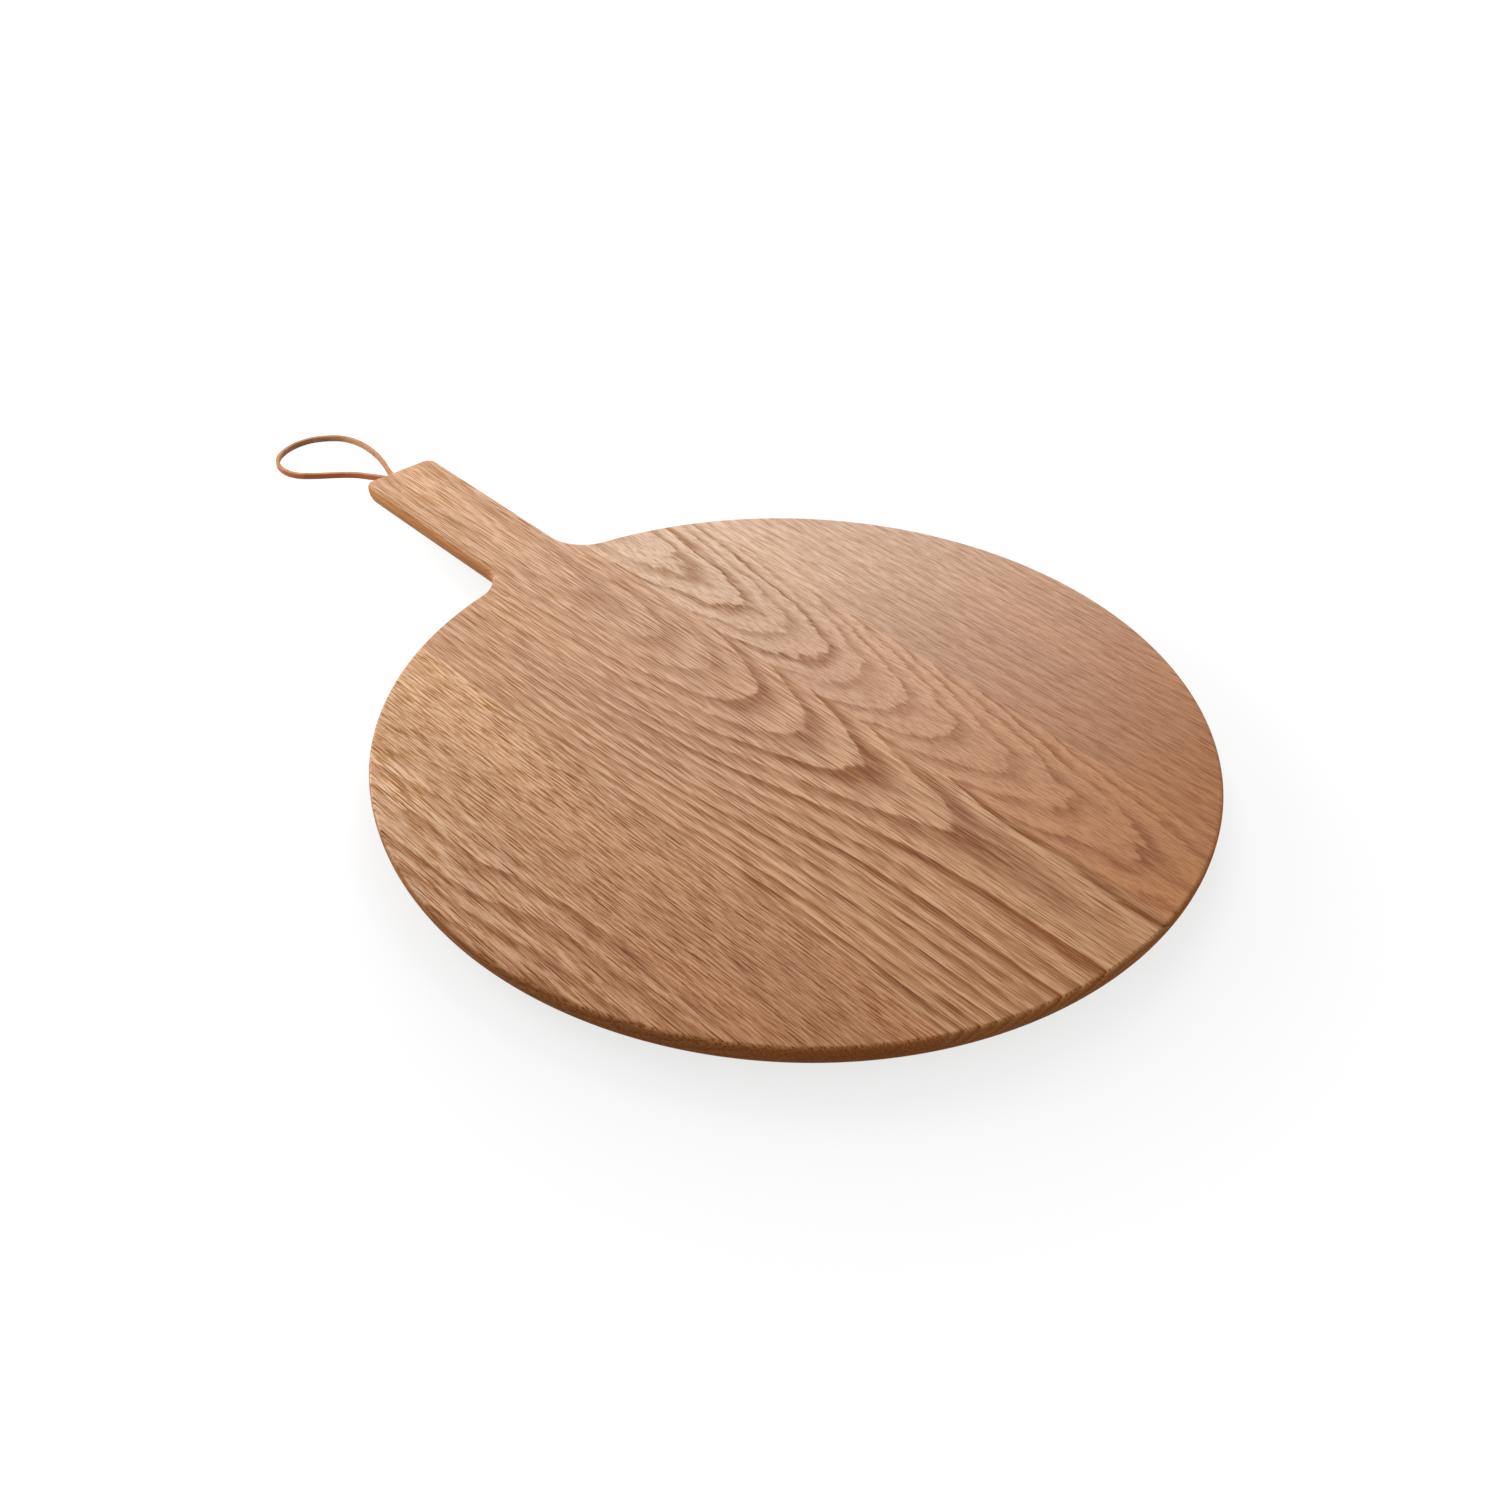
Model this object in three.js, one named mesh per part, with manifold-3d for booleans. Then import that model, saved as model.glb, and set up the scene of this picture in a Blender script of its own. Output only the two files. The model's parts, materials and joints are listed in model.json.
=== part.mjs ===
// Round oak serving board with a straight handle and a leather hanging loop.
// Millimetres, +Z up. The origin is the centre of the disc on the underside. The handle
// runs along -X, the grain runs along X, and left means +Y.
import * as THREE from 'three';
import { mergeVertices, toCreasedNormals } from 'three/addons/utils/BufferGeometryUtils.js';
import Module from 'manifold-3d';

const wasm = await Module();
wasm.setup();

// Board outline
const DISC_RADIUS = 175;
const HANDLE_WIDTH = 40;
const HANDLE_REACH = 292; // disc centre to the end of the handle
const NECK_FILLET = 20; // hollow corner where the handle runs into the disc
const HANDLE_CORNER = 5; // round on the two corners at the handle's end

// Board edge, seen in section
const BOARD_THICKNESS = 15;
const TOP_ROUND = 1.5;
const UNDERSIDE_ROUND = 13; // lets fingers get under the rim
const LEAST_HANDLE_FLAT = 4; // flat strip that stays under the handle between its rounds

// Staves: the handle stave is measured from the centre line, the edge staves from the rim
const HANDLE_STAVE_LEFT = 27;
const HANDLE_STAVE_RIGHT = 79;
const EDGE_STAVE_LEFT = 94;
const EDGE_STAVE_RIGHT = 43;
const GLUE_FILM = 0.1;

// Leather thong, a flat lace that stands on its edge
const THONG_WIDTH = 3;
const THONG_THICKNESS = 1.8;
const THONG_CHAMFER = 0.3;
const STRAND_GAP = 0.3; // between the two strands where they lie side by side
const BEND_GAP = 0.3; // running clearance at the bend where the loop lifts

// Blind hole in the handle's end that holds both tails of the thong
const HOLE_DIAMETER = 5.5;
const HOLE_DEPTH = 40;
const HOLE_HEIGHT = 7.5; // above the underside
const TAIL_LENGTH = 36;

// Fineness of the curved surfaces
const DISC_STEPS = 144;
const FILLET_STEPS = 9;
const CORNER_STEPS = 5;
const UNDERSIDE_STEPS = 8;
const TOP_STEPS = 3;
const HOLE_SIDES = 24;
const THONG_STEPS = 32;
const CREASE_ANGLE = THREE.MathUtils.degToRad(35);
const WELD = 1e-4; // points closer than this are one vertex

// Middle line of the free loop, from the left strand round to the right strand, measured
// from the bend: out of the hole, down to the table under its own weight, round and back.
const STRAND_OFFSET = (THONG_THICKNESS + STRAND_GAP) / 2;
const LOOP_ROUTE = [
  [0, STRAND_OFFSET, 0],
  [-3, 1.25, -0.1],
  [-7, 2.2, -0.6],
  [-13, 4.0, -1.6],
  [-23.5, 8.0, -3.3],
  [-35, 11.4, -4.7],
  [-45, 13.0, -5.4],
  [-54, 13.1, -5.75],
  [-61, 11.6, -5.85],
  [-66, 9.2, -5.9],
  [-70, 5.4, -5.9],
  [-73, 0.9, -5.9],
  [-75.2, -4.0, -5.9],
  [-76, -9.3, -5.9],
  [-75.6, -15.1, -5.9],
  [-73.8, -21.0, -5.9],
  [-70.5, -26.5, -5.9],
  [-66.5, -30.0, -5.9],
  [-62, -32.0, -5.85],
  [-56.6, -32.7, -5.8],
  [-51, -31.8, -5.7],
  [-46.2, -29.4, -5.5],
  [-41.8, -25.5, -5.2],
  [-37.4, -20.7, -4.9],
  [-33.4, -16.3, -4.5],
  [-29, -12.1, -4.0],
  [-23.8, -8.5, -3.3],
  [-18.5, -6.2, -2.5],
  [-13, -4.2, -1.6],
  [-7, -2.2, -0.6],
  [-3, -1.25, -0.1],
  [0, -STRAND_OFFSET, 0],
];

// Finishes
const oak = (colour) => new THREE.MeshStandardMaterial({ color: colour, roughness: 0.55, metalness: 0 });
const leather = () => new THREE.MeshStandardMaterial({ color: 0xa8673c, roughness: 0.7, metalness: 0 });

// A closed geometry becomes a solid once its seams are welded and empty triangles dropped.
function toSolid(geometry) {
  const bare = geometry.clone();
  bare.deleteAttribute('normal');
  bare.deleteAttribute('uv');
  const welded = mergeVertices(bare, WELD);
  const corners = welded.index.array;
  const triangles = [];
  for (let i = 0; i < corners.length; i += 3) {
    const [a, b, c] = corners.slice(i, i + 3);
    if (a !== b && b !== c && c !== a) triangles.push(a, b, c);
  }
  const mesh = new wasm.Mesh({
    numProp: 3,
    vertProperties: Float32Array.from(welded.attributes.position.array),
    triVerts: Uint32Array.from(triangles),
  });
  return new wasm.Manifold(mesh);
}

function toGeometry(solid) {
  const { vertProperties, triVerts } = solid.getMesh();
  const geometry = new THREE.BufferGeometry();
  geometry.setAttribute('position', new THREE.BufferAttribute(vertProperties, 3));
  geometry.setIndex(new THREE.BufferAttribute(triVerts, 1));
  return toCreasedNormals(geometry, CREASE_ANGLE);
}

function named(name, geometry, material) {
  const mesh = new THREE.Mesh(geometry, material);
  mesh.name = name;
  return mesh;
}

// Points of an arc, both ends included. A radius of zero gives the corner point each time.
function arc(centreX, centreY, radius, from, to, steps) {
  const points = [];
  for (let i = 0; i <= steps; i += 1) {
    const angle = THREE.MathUtils.lerp(from, to, i / steps);
    points.push(new THREE.Vector2(centreX + radius * Math.cos(angle), centreY + radius * Math.sin(angle)));
  }
  return points;
}

// Plan outline of the board, anticlockwise, moved inwards by the given inset. Hollow
// corners grow with the inset and round corners shrink until they are sharp.
function outline(inset) {
  const half = HANDLE_WIDTH / 2;
  const filletY = half + NECK_FILLET;
  const filletX = -Math.sqrt((DISC_RADIUS + NECK_FILLET) ** 2 - filletY ** 2);
  const neck = Math.atan2(filletY, filletX); // direction from the disc centre to the fillet centre
  const corner = Math.max(HANDLE_CORNER - inset, 0);
  const cornerX = -HANDLE_REACH + inset + corner;
  const cornerY = half - inset - corner;
  return [
    ...arc(0, 0, DISC_RADIUS - inset, -neck, neck, DISC_STEPS),
    ...arc(filletX, filletY, NECK_FILLET + inset, neck - Math.PI, -Math.PI / 2, FILLET_STEPS),
    ...arc(cornerX, cornerY, corner, Math.PI / 2, Math.PI, CORNER_STEPS),
    ...arc(cornerX, -cornerY, corner, Math.PI, 1.5 * Math.PI, CORNER_STEPS),
    ...arc(filletX, -filletY, NECK_FILLET + inset, Math.PI / 2, Math.PI - neck, FILLET_STEPS),
  ];
}

// Inset and height of the side wall from the underside up: a large round, a short upright
// band and a small round to the top face.
function edgeSection() {
  const roomUnderHandle = (HANDLE_WIDTH - LEAST_HANDLE_FLAT) / 2;
  const under = Math.min(UNDERSIDE_ROUND, BOARD_THICKNESS - TOP_ROUND, roomUnderHandle);
  const section = [];
  for (let i = 0; i <= UNDERSIDE_STEPS; i += 1) {
    const angle = (i / UNDERSIDE_STEPS) * (Math.PI / 2);
    section.push({ inset: under * (1 - Math.sin(angle)), z: under * (1 - Math.cos(angle)) });
  }
  for (let i = 0; i <= TOP_STEPS; i += 1) {
    const angle = (i / TOP_STEPS) * (Math.PI / 2);
    const z = BOARD_THICKNESS - TOP_ROUND * (1 - Math.sin(angle));
    section.push({ inset: TOP_ROUND * (1 - Math.cos(angle)), z });
  }
  return section;
}

// The whole panel as one solid: the outline lofted up the edge section, closed by the flat
// underside and the flat top.
function panel() {
  const rings = edgeSection().map(({ inset, z }) => ({ points: outline(inset), z }));
  const count = rings[0].points.length;
  const positions = rings.flatMap(({ points, z }) => points.flatMap((p) => [p.x, p.y, z]));
  const triangles = [];
  for (let ring = 0; ring + 1 < rings.length; ring += 1) {
    for (let i = 0; i < count; i += 1) {
      const next = (i + 1) % count;
      const low = ring * count;
      const high = low + count;
      triangles.push(low + i, low + next, high + next, low + i, high + next, high + i);
    }
  }
  const topStart = (rings.length - 1) * count;
  for (const [a, b, c] of THREE.ShapeUtils.triangulateShape(rings[0].points, [])) {
    triangles.push(c, b, a);
  }
  for (const [a, b, c] of THREE.ShapeUtils.triangulateShape(rings[rings.length - 1].points, [])) {
    triangles.push(topStart + a, topStart + b, topStart + c);
  }
  const geometry = new THREE.BufferGeometry();
  geometry.setAttribute('position', new THREE.Float32BufferAttribute(positions, 3));
  geometry.setIndex(triangles);
  return toSolid(geometry);
}

// A slab across the whole panel that keeps only the wood between two glue joints.
function slab(fromY, toY) {
  const margin = BOARD_THICKNESS;
  const length = HANDLE_REACH + DISC_RADIUS + 2 * margin;
  const geometry = new THREE.BoxGeometry(length, toY - fromY, BOARD_THICKNESS + 2 * margin);
  geometry.translate((DISC_RADIUS - HANDLE_REACH) / 2, (fromY + toY) / 2, BOARD_THICKNESS / 2);
  return toSolid(geometry);
}

// Drilled hole along the handle, open at the handle's end.
function endHole() {
  const past = HOLE_DIAMETER; // clear of the rounded end
  const geometry = new THREE.CylinderGeometry(
    HOLE_DIAMETER / 2, HOLE_DIAMETER / 2, HOLE_DEPTH + past, HOLE_SIDES,
  );
  geometry.rotateZ(Math.PI / 2);
  geometry.translate(-HANDLE_REACH + (HOLE_DEPTH - past) / 2, 0, HOLE_HEIGHT);
  return toSolid(geometry);
}

// Flat lace section with broken edges. Its first axis is the lace's width, which stands
// upright, and its second is the thickness.
function thongSection() {
  const w = THONG_WIDTH / 2;
  const t = THONG_THICKNESS / 2;
  const c = THONG_CHAMFER;
  return new THREE.Shape([
    new THREE.Vector2(-w + c, -t), new THREE.Vector2(w - c, -t),
    new THREE.Vector2(w, -t + c), new THREE.Vector2(w, t - c),
    new THREE.Vector2(w - c, t), new THREE.Vector2(-w + c, t),
    new THREE.Vector2(-w, t - c), new THREE.Vector2(-w, -t + c),
  ]);
}

// Round end of a strand at the bend, a disc on the bend's axis as wide as the lace.
function bendEnd(y) {
  const w = THONG_WIDTH / 2;
  const t = THONG_THICKNESS / 2;
  const c = THONG_CHAMFER;
  const geometry = new THREE.LatheGeometry([
    new THREE.Vector2(0, -t), new THREE.Vector2(w - c, -t), new THREE.Vector2(w, -t + c),
    new THREE.Vector2(w, t - c), new THREE.Vector2(w - c, t), new THREE.Vector2(0, t),
  ], HOLE_SIDES);
  geometry.translate(0, y, 0);
  return toSolid(geometry);
}

// The free loop, in coordinates that start at the bend.
function loop() {
  const route = new THREE.CatmullRomCurve3(LOOP_ROUTE.map((p) => new THREE.Vector3(...p)));
  const lace = new THREE.ExtrudeGeometry(thongSection(), { steps: THONG_STEPS, extrudePath: route });
  return toGeometry(toSolid(lace).add(bendEnd(STRAND_OFFSET)).add(bendEnd(-STRAND_OFFSET)));
}

// One tail: a straight length of the lace from inside the hole to the handle's end.
function tail() {
  const route = new THREE.LineCurve3(new THREE.Vector3(TAIL_LENGTH, 0, 0), new THREE.Vector3(0, 0, 0));
  return new THREE.ExtrudeGeometry(thongSection(), { steps: 1, extrudePath: route });
}

const board = new THREE.Group();

// Five staves, cut from the panel at the glue joints, each with half a glue film off each side
const wholePanel = panel();
const reach = DISC_RADIUS + BOARD_THICKNESS; // past the rim on either side
const seams = [
  reach,
  DISC_RADIUS - EDGE_STAVE_LEFT,
  HANDLE_STAVE_LEFT,
  -HANDLE_STAVE_RIGHT,
  EDGE_STAVE_RIGHT - DISC_RADIUS,
  -reach,
];
const staves = [
  { name: 'edge_stave_left', colour: 0xc79b76 },
  { name: 'inner_stave_left', colour: 0xc49471 },
  { name: 'handle_stave', colour: 0xc0906b },
  { name: 'inner_stave_right', colour: 0xb98960 },
  { name: 'edge_stave_right', colour: 0xb4845c },
];
staves.forEach(({ name, colour }, i) => {
  const cut = slab(seams[i + 1] + GLUE_FILM / 2, seams[i] - GLUE_FILM / 2);
  const whole = wholePanel.intersect(cut);
  const stave = name === 'handle_stave' ? whole.subtract(endHole()) : whole;
  board.add(named(name, toGeometry(stave), oak(colour)));
});

// The thong: two tails in the hole, side by side, and the loop that bends just outside it
const tails = new THREE.Group();
tails.position.set(-HANDLE_REACH, 0, HOLE_HEIGHT);
for (const [name, y] of [['thong_tail_left', STRAND_OFFSET], ['thong_tail_right', -STRAND_OFFSET]]) {
  const mesh = named(name, tail(), leather());
  mesh.position.y = y;
  tails.add(mesh);
}
board.add(tails);

const bend = new THREE.Group();
bend.position.set(-(HANDLE_REACH + BEND_GAP + THONG_WIDTH / 2), 0, HOLE_HEIGHT);
bend.add(named('thong_loop', loop(), leather()));
board.add(bend);

export default board;
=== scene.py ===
"""A round oak serving board with a straight handle and a leather hanging loop.

Metres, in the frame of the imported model: the origin is the centre of the disc on the
underside, the handle runs along -X, the grain runs along X, and left means +Y.
"""
import json
import math
from functools import partial

import bmesh
import bpy
import numpy as np
from mathutils import Matrix, Vector


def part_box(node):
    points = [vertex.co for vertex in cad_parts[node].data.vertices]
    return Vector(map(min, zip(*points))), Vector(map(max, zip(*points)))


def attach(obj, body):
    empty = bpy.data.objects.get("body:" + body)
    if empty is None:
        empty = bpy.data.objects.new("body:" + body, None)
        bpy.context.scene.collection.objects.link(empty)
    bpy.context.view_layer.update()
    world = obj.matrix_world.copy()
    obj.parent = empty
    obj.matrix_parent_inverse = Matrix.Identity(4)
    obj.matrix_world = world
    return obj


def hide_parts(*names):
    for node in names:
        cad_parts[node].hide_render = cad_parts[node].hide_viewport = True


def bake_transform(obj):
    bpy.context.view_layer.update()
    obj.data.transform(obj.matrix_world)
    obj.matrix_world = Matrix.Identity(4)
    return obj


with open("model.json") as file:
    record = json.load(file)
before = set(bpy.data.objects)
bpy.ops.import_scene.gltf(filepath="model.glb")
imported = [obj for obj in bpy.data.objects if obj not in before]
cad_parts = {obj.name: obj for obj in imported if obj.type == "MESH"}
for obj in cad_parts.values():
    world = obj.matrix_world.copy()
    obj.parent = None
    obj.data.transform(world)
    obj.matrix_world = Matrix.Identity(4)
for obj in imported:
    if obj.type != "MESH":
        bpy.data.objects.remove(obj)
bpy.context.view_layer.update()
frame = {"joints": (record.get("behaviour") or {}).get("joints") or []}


# The staves
# Five planks of oak, edge-glued with plain butt joints, then sawn to a disc with a handle,
# routed all round with a large undercut below and a small round above, sanded and oiled.
MM = 0.001
disc_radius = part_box("edge_stave_left")[1].y
handle_reach = -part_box("handle_stave")[0].x
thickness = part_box("handle_stave")[1].z
handle_half = 20 * MM
neck_fillet = 20 * MM
handle_corner = 5 * MM
underside_round = 13 * MM
top_round = 1.5 * MM
flat_margin = 0.4 * MM  # narrow band that keeps the shading of the flat faces flat
joint_gap = 0.04 * MM  # closes a glue film of 0.1 mm to the hairline of a tight joint, from each side
weld_distance = 0.001 * MM  # joins the points of a corner that has shrunk to nothing

disc_steps, fillet_steps, corner_steps = 300, 16, 10
underside_steps, top_steps = 18, 8


def arc(centre, radius, start, end, steps):
    """Points along an arc in plan, both ends included."""
    angles = np.linspace(start, end, steps + 1)
    return [(centre[0] + radius * math.cos(a), centre[1] + radius * math.sin(a)) for a in angles]


def board_outline(inset):
    """Plan outline, anticlockwise. Hollow corners grow with the inset, round ones shrink to a point."""
    fillet_y = handle_half + neck_fillet
    fillet_x = -math.sqrt((disc_radius + neck_fillet) ** 2 - fillet_y ** 2)
    neck = math.atan2(fillet_y, fillet_x)
    corner = max(handle_corner - inset, 0)
    corner_x = -handle_reach + inset + corner
    corner_y = handle_half - inset - corner
    hollow = neck_fillet + inset
    return (
        arc((0, 0), disc_radius - inset, -neck, neck, disc_steps)
        + arc((fillet_x, fillet_y), hollow, neck - math.pi, -math.pi / 2, fillet_steps)
        + arc((corner_x, corner_y), corner, math.pi / 2, math.pi, corner_steps)
        + arc((corner_x, -corner_y), corner, math.pi, 1.5 * math.pi, corner_steps)
        + arc((fillet_x, -fillet_y), hollow, math.pi / 2, math.pi - neck, fillet_steps)
    )


def edge_section():
    """Inset and height of the routed edge, from the flat underside up to the flat top."""
    section = [(underside_round + flat_margin, 0)]
    for a in np.linspace(0, math.pi / 2, underside_steps + 1):
        section.append((underside_round * (1 - math.sin(a)), underside_round * (1 - math.cos(a))))
    for a in np.linspace(0, math.pi / 2, top_steps + 1):
        section.append((top_round * (1 - math.cos(a)), thickness - top_round * (1 - math.sin(a))))
    return section + [(top_round + flat_margin, thickness)]


def glued_panel():
    """The whole panel: the outline lofted up the edge section, closed by two flat faces."""
    panel = bmesh.new()
    rings = []
    for inset, z in edge_section():
        rings.append([panel.verts.new((x, y, z)) for x, y in board_outline(inset)])
    for low, high in zip(rings, rings[1:]):
        for i in range(len(low)):
            panel.faces.new((low[i - 1], low[i], high[i], high[i - 1]))
    panel.faces.new(reversed(rings[0]))
    panel.faces.new(rings[-1])
    bmesh.ops.remove_doubles(panel, verts=panel.verts, dist=weld_distance)
    return panel


def cut_along_joint(wood, y, keep_left):
    """Saws the panel along a glue joint, keeps one side and closes the cut."""
    everything = wood.verts[:] + wood.edges[:] + wood.faces[:]
    bmesh.ops.bisect_plane(
        wood, geom=everything, plane_co=(0, y, 0), plane_no=(0, 1, 0),
        clear_inner=keep_left, clear_outer=not keep_left,
    )
    bmesh.ops.holes_fill(wood, edges=[e for e in wood.edges if e.is_boundary])


def finished_piece(name, shape, crease=35):
    """A bmesh as an object, smooth where its faces meet at less than the crease angle."""
    bmesh.ops.recalc_face_normals(shape, faces=shape.faces)
    mesh = bpy.data.meshes.new(name)
    shape.to_mesh(mesh)
    shape.free()
    mesh.shade_smooth()
    mesh.set_sharp_from_angle(angle=math.radians(crease))
    piece = bpy.data.objects.new(name, mesh)
    bpy.context.scene.collection.objects.link(piece)
    return piece


def linear(hex_colour):
    """An sRGB hex colour as linear red, green, blue and alpha."""
    parts = [int(hex_colour[i:i + 2], 16) / 255 for i in (1, 3, 5)]
    return [c / 12.92 if c <= 0.04045 else ((c + 0.055) / 1.055) ** 2.4 for c in parts] + [1]


def add_node(tree, kind, inputs=(), **settings):
    """Adds one shader node and gives back its outputs. Its settings go by name, and its inputs, by
    name or in order, are plain values or the outputs of other nodes."""
    made = tree.nodes.new("ShaderNode" + kind)
    for name, value in settings.items():
        setattr(made, name, value)
    for socket, value in inputs.items() if isinstance(inputs, dict) else enumerate(inputs):
        if isinstance(value, bpy.types.NodeSocket):
            tree.links.new(value, made.inputs[socket])
        else:
            made.inputs[socket].default_value = value
    return made.outputs


def oiled_oak(name, look):
    """Oak, sanded and oiled: dark early wood and paler late wood in each year's ring, pores as fine
    dark dashes along the grain, and sawn edges darker and redder, partly from more oil and partly
    painted shade.
    Its patterns are measured in millimetres."""
    material = bpy.data.materials.new(name)
    material.use_nodes = True
    shader = material.node_tree.nodes["Principled BSDF"]
    node = partial(add_node, material.node_tree)
    soft = dict(interpolation_type="SMOOTHSTEP")

    # Places in the log, in millimetres: along the grain, then across it from the pith
    place = node("TexCoord")
    in_mm = node("VectorMath", {0: place["Object"], "Scale": 1 / MM}, operation="SCALE")
    board = node("SeparateXYZ", [in_mm[0]])
    from_pith = node("Math", [board["Y"], look["pith_y"]], operation="SUBTRACT")
    across = node("Math", [board["X"], -look["lean"], from_pith[0]], operation="MULTIPLY_ADD")[0]
    under_top = node("Math", [board["Z"], thickness / MM], operation="SUBTRACT")
    depth = node("MapRange", [board["X"], *look["run"], *look["pith_depth"]], **soft)
    up = node("Math", [under_top[0], depth[0]], operation="ADD")[0]
    fibre = node("CombineXYZ", [board["X"], across, board["Z"]])[0]
    section = node("CombineXYZ", [0, across, up])
    radius = node("VectorMath", [section[0]], operation="LENGTH")["Value"]

    def grain(length, width, detail=2.0, roughness=0.5):
        """Soft marks from 0 to 1, of this length along the grain and width across it."""
        marks = node("VectorMath", [fibre, (1 / length, 1 / width, 1 / width)], operation="MULTIPLY")
        settings = {"Vector": marks[0], "Scale": 1, "Detail": detail, "Roughness": roughness}
        return node("TexNoise", settings)["Fac"]

    def pores(length, width, reach):
        """Thin dashes, one in each cell of this length and width, some filled darker than others."""
        marks = node("VectorMath", [fibre, (1 / length, 1 / width, 1 / width)], operation="MULTIPLY")
        cells = node("TexVoronoi", {"Vector": marks[0], "Scale": 1})
        filled = node("MapRange", [cells["Color"], 0.2, 0.7, 0.35, 1])
        return node("MapRange", [cells["Distance"], reach - 0.06, reach + 0.04, filled[0], 0])[0]

    # Growth rings: the radius, unevenly grown and frayed, counted in ring widths. Each year starts
    # with a dark line of early wood, stronger in some years than in others, that fades outwards
    grown = node("Math", [grain(length=170, width=45), look["sway"], radius], operation="MULTIPLY_ADD")
    grown = node("Math", [grain(length=26, width=7), look["ripple"], grown[0]], operation="MULTIPLY_ADD")
    grown = node("Math", [grain(length=12, width=0.8), look["fray"], grown[0]], operation="MULTIPLY_ADD")
    years = node("Math", [grown[0], look["ring_width"]], operation="DIVIDE")[0]
    share = node("Math", [years], operation="FRACT")[0]
    year = node("Math", [years], operation="FLOOR")
    chance = node("TexWhiteNoise", {"W": year[0]}, noise_dimensions="1D")
    faintest = 0.6 * look["lines"]
    strength = node("MapRange", [chance["Value"], 0, 1, faintest, look["lines"]])
    broken = node("MapRange", [grain(length=60, width=6), 0.15, 0.5, 0, strength[0]], **soft)
    onset, end = 0.08, 2 * look["early"]
    fading = node("MapRange", [share, onset, end, broken[0], 0], **soft)
    early = node("MapRange", [share, 0, onset, 0, fading[0]], **soft)[0]

    # Sawn edges drank the oil evenly, so their marks are fainter. Wood counts as sawn edge by how
    # far it faces up or down, from 0 for upright to 1 for level
    sawn, sanded = 0.4, 0.92
    edge_clearness = 0.6
    normal = node("SeparateXYZ", [place["Normal"]])
    facing = node("Math", [normal["Z"]], operation="ABSOLUTE")
    sawn_edge_share = node("MapRange", [facing[0], sawn, sanded, 1, 0], **soft)[0]
    clear = node("MapRange", [sawn_edge_share, 0, 1, 1, edge_clearness])[0]

    # Pores crowd in the early wood and are sparse elsewhere. They and the fibres are drawn about
    # twice as coarse as in real oak, so that they show
    length, width = look["dash"]
    scattered = pores(1.4 * length, 1.4 * width, reach=0.36)
    sparse = node("Math", [scattered, look["pores"]], operation="MULTIPLY")
    crowded = node("MapRange", [pores(length, 1.2 * width, reach=0.5), 0, 1, 0.6, 1])
    # How strongly the lines show along the board: the wood's own figure, and on the handle stave a fade
    # towards the handle's end that is painted sheen
    line_contrast_and_sheen_run = (-200, 100)
    line_contrast_and_sheen = node("MapRange", [board["X"], *line_contrast_and_sheen_run, *look["line_contrast_and_sheen"]], **soft)
    lines = node("Math", [early, crowded[0]], operation="MULTIPLY")
    lines = node("Math", [lines[0], line_contrast_and_sheen[0]], operation="MULTIPLY")
    dark = node("Math", [lines[0], sparse[0]], operation="MAXIMUM")
    dark = node("Math", [dark[0], clear], operation="MULTIPLY")[0]
    fibres = grain(look["fibre"], width=0.65, detail=3.0, roughness=0.75)

    # Colours: pale fibres are greyer than the wood as a whole, dark ones and early wood browner.
    # Dark fibres are narrow and deep in tone, pale ones broad. Tints are shares of red, green, blue
    even = Vector((1, 1, 1))
    streak = Vector((0.64, 1, 1.6)) * look["streak"]
    early_wood_tint = (0.4, 0.2, 0.01)
    # The sawn-edge tint is partly the oil the end grain took up and partly painted shade of the shaded,
    # undercut rim
    sawn_edge_oil_and_painted_shade_tint = (0.96, 0.74, 0.52)
    # Each stave's colour runs from its handle-end colour to its far-end colour along the board
    ground_run = (-240, 170)
    darker, paler = 0.93, 1.06
    along = node("MapRange", [board["X"], *ground_run], **soft)
    left, right = (linear(colour) for colour in look["ground"])
    ground = node("Mix", {0: along[0], 6: left, 7: right}, data_type="RGBA")
    tones = node("MapRange", [grain(length=110, width=25, detail=1.0), 0.3, 0.7, darker, paler])
    plain = node("VectorMath", {0: ground[2], "Scale": tones[0]}, operation="SCALE")[0]
    hollow = node("VectorMath", [plain, even - 1.4 * streak], operation="MULTIPLY")
    ridge = node("VectorMath", [plain, even + 0.7 * streak], operation="MULTIPLY")
    fibre_share = node("MapRange", [fibres, 0.39, 0.54])
    streaked = node("Mix", {0: fibre_share[0], 6: hollow[0], 7: ridge[0]}, data_type="RGBA")
    pale = node("Mix", {0: clear, 6: plain, 7: streaked[2]}, data_type="RGBA")
    brown = node("VectorMath", [pale[2], early_wood_tint], operation="MULTIPLY")
    face = node("Mix", {0: dark, 6: pale[2], 7: brown[0]}, data_type="RGBA")
    # Painted shade, partly oil: the upright sawn edges are darkened and reddened by the sawn-edge tint
    edge = node("VectorMath", [face[2], sawn_edge_oil_and_painted_shade_tint], operation="MULTIPLY")
    colour = node("Mix", {0: sawn_edge_share, 6: face[2], 7: edge[0]}, data_type="RGBA")
    material.node_tree.links.new(colour[2], shader.inputs["Base Color"])

    # Skin: the oil dries duller over the early wood and the sawn edges, and pores lie a little low
    face_roughness, early_wood_roughness, sawn_edge_roughness = 0.42, 0.6, 0.8
    pore_depth = 0.08 * MM
    matt = node("MapRange", [dark, 0, 1, face_roughness, early_wood_roughness])
    dull = node("MapRange", [sawn_edge_share, 0, 1, matt[0], sawn_edge_roughness])
    material.node_tree.links.new(dull[0], shader.inputs["Roughness"])
    relief = node("Math", [fibres, dark], operation="SUBTRACT")
    relief = node("Math", [relief[0], clear], operation="MULTIPLY")
    bump = node("Bump", {"Height": relief[0], "Distance": pore_depth, "Strength": 0.5})
    material.node_tree.links.new(bump["Normal"], shader.inputs["Normal"])
    shader.inputs["IOR"].default_value = 1.48
    shader.inputs["Specular IOR Level"].default_value = 0.2
    return material
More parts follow.
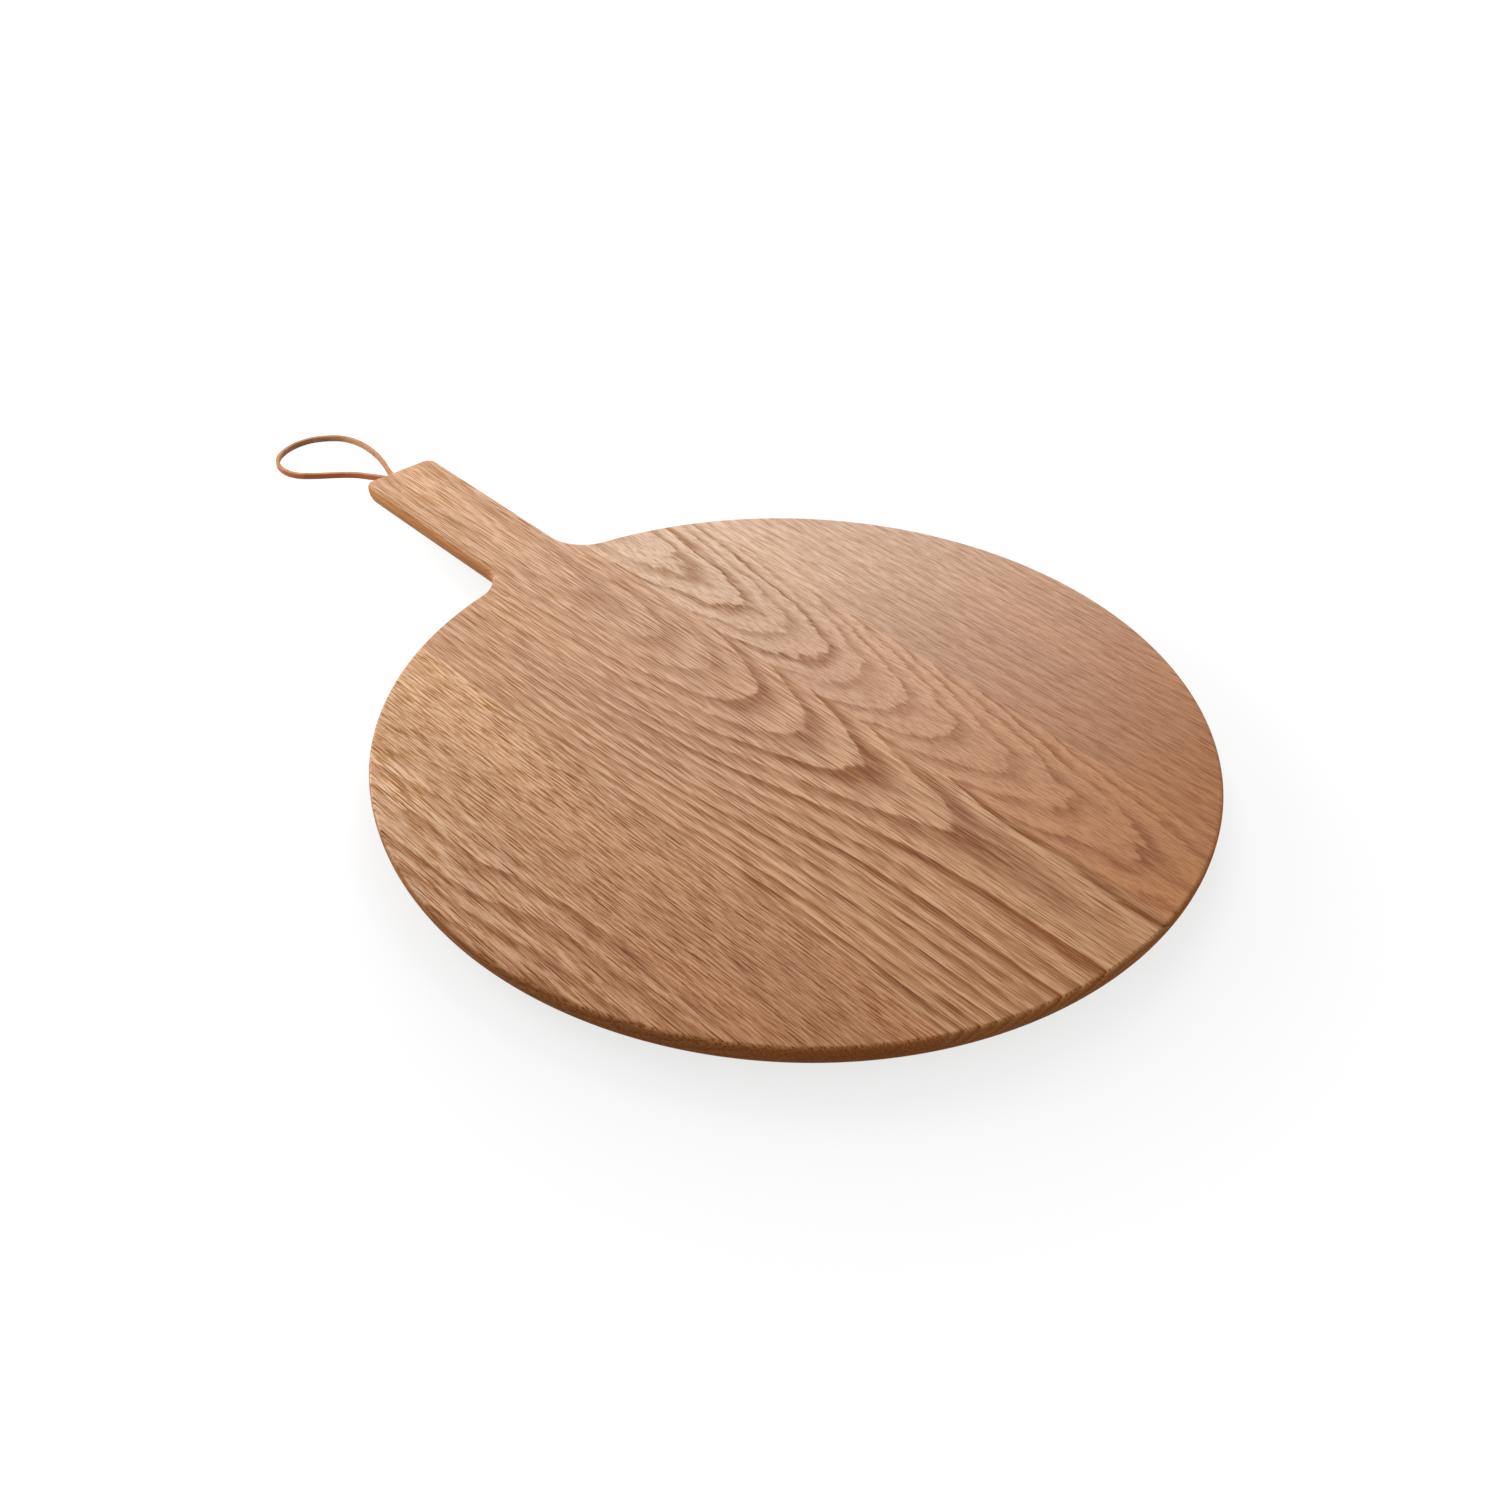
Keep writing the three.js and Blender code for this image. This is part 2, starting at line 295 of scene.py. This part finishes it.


# Where each stave was sawn from its log, as its figure shows, and its colour at the handle's end
# and at the far end of the board, mostly paler and greyer towards the handle and darker towards the
# far end. Lengths are millimetres: the pith's place across the board and its depth under the top face
# at the two ends of the run, the width of a year's ring, how unevenly it grew, the length and width
# of a pore's dash and the length of a fibre.
# Shares give the early wood in a year, how dark its lines, the pores and the streaks are, and how
# much of the lines shows at the handle and at the far end: the wood's own figure, with painted sheen
# washing the lines out towards the handle on the handle stave.
stave_looks = {
    "edge_stave_left": dict(
        pith_y=20, pith_depth=(120, 124), run=(-180, 180), lean=0.01,
        ring_width=3.2, early=0.3, sway=14, ripple=1.6, fray=0.8, lines=0.55,
        pores=0.45, dash=(9, 0.4), fibre=14, streak=0.28, line_contrast_and_sheen=(1, 1),
        ground=("#d7b395", "#b37340"),
    ),
    "inner_stave_left": dict(
        pith_y=47, pith_depth=(42, 72), run=(-190, 190), lean=0,
        ring_width=3, early=0.34, sway=5, ripple=2.8, fray=1.3, lines=0.9,
        pores=0.45, dash=(7, 0.45), fibre=8, streak=0.22, line_contrast_and_sheen=(1.4, 1.1),
        ground=("#d8b597", "#c3814c"),
    ),
    "handle_stave": dict(
        pith_y=3, pith_depth=(36, 62), run=(-180, 120), lean=0,
        ring_width=4, early=0.42, sway=6, ripple=1, fray=0.6, lines=1,
        pores=0.8, dash=(15, 0.5), fibre=24, streak=0.38, line_contrast_and_sheen=(0.5, 1.5),
        ground=("#c69a76", "#cf9767"),
    ),
    "inner_stave_right": dict(
        pith_y=-260, pith_depth=(60, 64), run=(-180, 180), lean=0.015,
        ring_width=1.8, early=0.4, sway=8, ripple=0.4, fray=0.2, lines=0.6,
        pores=1, dash=(12, 0.4), fibre=13, streak=0.42, line_contrast_and_sheen=(1.1, 1.1),
        ground=("#d5ab83", "#c48655"),
    ),
    "edge_stave_right": dict(
        pith_y=-118, pith_depth=(70, 78), run=(-180, 180), lean=0,
        ring_width=4.2, early=0.42, sway=18, ripple=2, fray=0.7, lines=1,
        pores=1, dash=(18, 0.65), fibre=16, streak=0.46, line_contrast_and_sheen=(1.3, 1.3),
        ground=("#e4bc96", "#c08455"),
    ),
}

panel = glued_panel()
staves = {}
for name, look in stave_looks.items():
    low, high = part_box(name)
    wood = panel.copy()
    cut_along_joint(wood, low.y - joint_gap, True)
    cut_along_joint(wood, high.y + joint_gap, False)
    stave = finished_piece(name + "_oak", wood)
    stave.data.materials.append(oiled_oak("oiled_oak_" + name, look))
    staves[name] = stave
panel.free()

# The blind hole for the thong, drilled into the handle's end grain along the handle
hole_radius = 2.75 * MM
hole_depth = 40 * MM
hole_segments = 40
hole_height = thickness / 2
drill_shape = bmesh.new()
bmesh.ops.create_cone(
    drill_shape, cap_ends=True, segments=hole_segments,
    radius1=hole_radius, radius2=hole_radius, depth=2 * hole_depth,
    matrix=Matrix.Translation((-handle_reach, 0, hole_height)) @ Matrix.Rotation(math.pi / 2, 4, "Y"),
)
drill = finished_piece("drill", drill_shape)
handle = staves["handle_stave"]
hole = handle.modifiers.new("hole", "BOOLEAN")
hole.object = drill
hole.solver = "EXACT"
drilled = bpy.data.meshes.new_from_object(handle.evaluated_get(bpy.context.evaluated_depsgraph_get()))
handle.modifiers.clear()
handle.data = drilled
drilled.name = handle.name
bpy.data.objects.remove(drill)

for name, stave in staves.items():
    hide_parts(name)
    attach(stave, "board")


# The leather thong
# One flat lace of vegetable-tanned leather, cut with a knife, 3 by 1.8 mm. Both tails are
# glued into a blind hole in the handle's end, and the loop hangs free and rests on the table.
thong_width = 3 * MM
thong_thickness = 1.8 * MM
edge_rounding = 0.3 * MM
bend_x = frame["joints"][0]["pos_m"][0]
strand_offset = 1.05 * MM
hole_mouth = -handle_reach + 1.3 * MM  # where the end of the handle stands at the hole's height
steps_per_span, rounding_steps = 6, 4

# Middle line of the free loop, in millimetres from the bend: out of the hole, down to the
# table under its own weight, round and back.
loop_route = [
    (0, 1.05, 0), (-3, 1.25, -0.1), (-7, 2.2, -0.6), (-13, 4.0, -1.6),
    (-23.5, 8.0, -3.3), (-35, 11.4, -4.7), (-45, 13.0, -5.4), (-54, 13.1, -5.75),
    (-61, 11.6, -5.85), (-66, 9.2, -5.9), (-70, 5.4, -5.9), (-73, 0.9, -5.9),
    (-75.2, -4.0, -5.9), (-76, -9.3, -5.9), (-75.6, -15.1, -5.9), (-73.8, -21.0, -5.9),
    (-70.5, -26.5, -5.9), (-66.5, -30.0, -5.9), (-62, -32.0, -5.85), (-56.6, -32.7, -5.8),
    (-51, -31.8, -5.7), (-46.2, -29.4, -5.5), (-41.8, -25.5, -5.2), (-37.4, -20.7, -4.9),
    (-33.4, -16.3, -4.5), (-29, -12.1, -4.0), (-23.8, -8.5, -3.3), (-18.5, -6.2, -2.5),
    (-13, -4.2, -1.6), (-7, -2.2, -0.6), (-3, -1.25, -0.1), (0, -1.05, 0),
]


def smooth_line(points):
    """A curve through the points, as close points along it."""
    p = np.array(points, float)
    at = np.concatenate([[0], np.cumsum(np.linalg.norm(np.diff(p, axis=0), axis=1))])
    slope = np.gradient(p, at, axis=0)
    line = []
    for i in range(len(p) - 1):
        span = at[i + 1] - at[i]
        for t in np.arange(steps_per_span) / steps_per_span:
            line.append(
                (1 + 2 * t) * (1 - t) ** 2 * p[i] + t * (1 - t) ** 2 * span * slope[i]
                + t * t * (3 - 2 * t) * p[i + 1] + t * t * (t - 1) * span * slope[i + 1]
            )
    return np.array(line + [p[-1]])


def lace_section():
    """Points round the lace's section: half width upright, half thickness across."""
    w = thong_width / 2 - edge_rounding
    t = thong_thickness / 2 - edge_rounding
    corners = [((w, t), 0), ((-w, t), 1), ((-w, -t), 2), ((w, -t), 3)]
    points = []
    for centre, quarter in corners:
        turn = [q * math.pi / 2 for q in (quarter, quarter + 1)]
        points += arc(centre, edge_rounding, *turn, rounding_steps)
    return points


def lace_along(name, line):
    """The lace swept along a line, standing on its edge, with both ends closed. Its outer side takes
    the first material, its inner side the second, and its cut edges and ends the third."""
    shape = bmesh.new()
    section = lace_section()
    heading = np.gradient(line, axis=0)
    rings = []
    for point, ahead in zip(line, heading):
        forward = Vector(ahead).normalized()
        upright = (Vector((0, 0, 1)) - forward * forward.z).normalized()
        sideways = upright.cross(forward)
        rings.append([shape.verts.new(Vector(point) + upright * w + sideways * t) for w, t in section])
    for near, far in zip(rings, rings[1:]):
        for i in range(len(near)):
            side = shape.faces.new((near[i - 1], near[i], far[i], far[i - 1]))
            high, inward = (section[i - 1][k] + section[i][k] for k in (0, 1))
            side.material_index = 2 if abs(high) > thong_width - 2 * edge_rounding else int(inward > 0)
    shape.faces.new(rings[0]).material_index = 2
    shape.faces.new(reversed(rings[-1])).material_index = 2
    return finished_piece(name, shape, crease=60)


def tanned_leather(name, light, dark, roughness, gloss):
    """Vegetable-tanned cowhide: warm tan, softly mottled, with a fine pebbled grain and a low sheen."""
    material = bpy.data.materials.new(name)
    material.use_nodes = True
    shader = material.node_tree.nodes["Principled BSDF"]
    node = partial(add_node, material.node_tree)
    mottle_size = 5 * MM
    pebble_size = 0.5 * MM
    pebble_height = 0.05 * MM
    place = node("TexCoord")["Object"]
    mottle = node("TexNoise", {"Vector": place, "Scale": 1 / mottle_size, "Detail": 4, "Roughness": 0.6})
    share = node("MapRange", [mottle["Fac"], 0.3, 0.7])
    colour = node("Mix", {0: share[0], 6: linear(light), 7: linear(dark)}, data_type="RGBA")
    material.node_tree.links.new(colour[2], shader.inputs["Base Color"])
    pebble = node("TexVoronoi", {"Vector": place, "Scale": 1 / pebble_size})
    bump = node("Bump", {"Height": pebble["Distance"], "Distance": pebble_height, "Strength": 0.5})
    material.node_tree.links.new(bump["Normal"], shader.inputs["Normal"])
    shader.inputs["Roughness"].default_value = roughness
    shader.inputs["IOR"].default_value = 1.5
    shader.inputs["Specular IOR Level"].default_value = gloss
    return material


leather = [
    tanned_leather("vegetable_tanned_leather_grain_side", "#b15d2a", "#a05325", 0.45, 0.35),
    tanned_leather("vegetable_tanned_leather_flesh_side", "#cb9874", "#a5734e", 0.8, 0.3),
    tanned_leather("vegetable_tanned_leather_cut_edge", "#c48a66", "#a66f4c", 0.7, 0.3),
]
bend = np.array((bend_x, 0, hole_height))
free_line = smooth_line(loop_route) * MM + bend
left_end = np.array([(hole_mouth, strand_offset, hole_height)])
right_end = np.array([(hole_mouth, -strand_offset, hole_height)])
thong_line = np.concatenate([left_end, free_line, right_end])
thong = lace_along("leather_thong_loop", thong_line)
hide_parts("thong_loop")
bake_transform(thong)

# The tails run on from the loop's two ends to near the bottom of the hole
tail_gap = 0.05 * MM  # keeps the tail's end face clear of the loop's
tail_points = 12
tails = []
for name, side in (("thong_tail_left", strand_offset), ("thong_tail_right", -strand_offset)):
    inner_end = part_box(name)[1].x
    stations = np.linspace(hole_mouth + tail_gap, inner_end, tail_points)
    tail_line = np.array([(x, side, hole_height) for x in stations])
    tail = lace_along("leather_" + name, tail_line)
    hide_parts(name)
    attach(tail, "board")
    tails.append(tail)

for strip in [thong] + tails:
    for side in leather:
        strip.data.materials.append(side)


# The studio
# A plain white table, a large softbox behind the board, towards the handle, and a small one low
# at the handle's right. The camera stands where the photograph was taken from.
table_radius = 6
table_drop = 0.05 * MM  # keeps the table's face clear of the underside
floor_mesh = bpy.data.meshes.new("white_table")
floor_shape = bmesh.new()
bmesh.ops.create_circle(floor_shape, cap_ends=True, segments=128, radius=table_radius)
floor_shape.to_mesh(floor_mesh)
floor_shape.free()
floor = bpy.data.objects.new("white_table", floor_mesh)
floor.location.z = -table_drop
bpy.context.scene.collection.objects.link(floor)


def seen_directly(tree):
    """1 for rays that show a surface as it is: straight to the camera, mirrored or through glass."""
    ray = add_node(tree, "LightPath")
    seen = add_node(tree, "Math", [ray["Is Camera Ray"], ray["Is Glossy Ray"]], operation="MAXIMUM")
    return add_node(tree, "Math", [seen[0], ray["Is Transmission Ray"]], operation="MAXIMUM")[0]


# Seen directly the table is part lit and part glowing, so white with a soft shadow; to the board
# it is a dim grey, as a table well below the lamps' beam
shadow_reach = (0.2, 0.5)  # distances from the middle of the board between which the glow rises
shadow_glow = (0.76, 1)
table_top = bpy.data.materials.new("white_table_top")
table_top.use_nodes = True
tree = table_top.node_tree
tree.nodes.clear()
place = add_node(tree, "TexCoord")
from_middle = add_node(tree, "VectorMath", [place["Object"]], operation="LENGTH")
glow = add_node(tree, "MapRange", [from_middle["Value"], *shadow_reach, *shadow_glow])
lit = add_node(tree, "BsdfDiffuse", {"Color": linear("#959595")})
white = add_node(tree, "Emission", {"Strength": glow[0]})
shown = add_node(tree, "AddShader", [lit[0], white[0]])
dim = add_node(tree, "BsdfDiffuse", {"Color": linear("#767370")})
surface = add_node(tree, "MixShader", [seen_directly(tree), dim[0], shown[0]])
add_node(tree, "OutputMaterial", {"Surface": surface[0]})
floor_mesh.materials.append(table_top)

world = bpy.data.worlds.new("white_room")
world.use_nodes = True
tree = world.node_tree
tree.nodes.clear()
dim = add_node(tree, "Background", {"Color": linear("#ffffff"), "Strength": 0.4})
bright = add_node(tree, "Background", {"Color": linear("#ffffff"), "Strength": 1})
sky = add_node(tree, "MixShader", [seen_directly(tree), dim[0], bright[0]])
add_node(tree, "OutputWorld", {"Surface": sky[0]})
bpy.context.scene.world = world


def soft_lamp(name, place, size, power):
    """A square softbox that faces the middle of the board."""
    lamp = bpy.data.lights.new(name, "AREA")
    lamp.shape = "SQUARE"
    lamp.size = size
    lamp.energy = power
    box = bpy.data.objects.new(name, lamp)
    box.location = place
    box.rotation_euler = Vector(place).to_track_quat("Z", "Y").to_euler()
    bpy.context.scene.collection.objects.link(box)


soft_lamp("softbox_behind", place=(-0.46, 0.52, 0.52), size=0.6, power=4.4)
soft_lamp("softbox_at_the_handle", place=(-0.45, -0.26, 0.19), size=0.25, power=1.3)

# The camera looks at the middle of the top face, turned a little off it as in the photograph
camera_distance = 767.2 * MM
camera_round = math.radians(44.86)
camera_up = math.radians(37.64)
camera_pan, camera_tilt, camera_roll = (math.radians(d) for d in (-1.403, -0.513, 2.371))
view_from = Vector((
    math.sin(camera_round) * math.cos(camera_up),
    -math.cos(camera_round) * math.cos(camera_up),
    math.sin(camera_up),
))
camera = bpy.data.objects.new("camera", bpy.data.cameras.new("camera"))
camera.data.sensor_width = 36
camera.data.lens = 44.285
camera.data.clip_start = 0.01
camera.matrix_world = (
    Matrix.Translation(Vector((0, 0, thickness)) + view_from * camera_distance)
    @ Matrix.Rotation(camera_round, 4, "Z") @ Matrix.Rotation(math.pi / 2 - camera_up, 4, "X")
    @ Matrix.Rotation(-camera_pan, 4, "Y") @ Matrix.Rotation(camera_tilt, 4, "X")
    @ Matrix.Rotation(camera_roll, 4, "Z")
)
bpy.context.scene.collection.objects.link(camera)
bpy.context.scene.camera = camera
bpy.context.scene.view_settings.view_transform = "Standard"
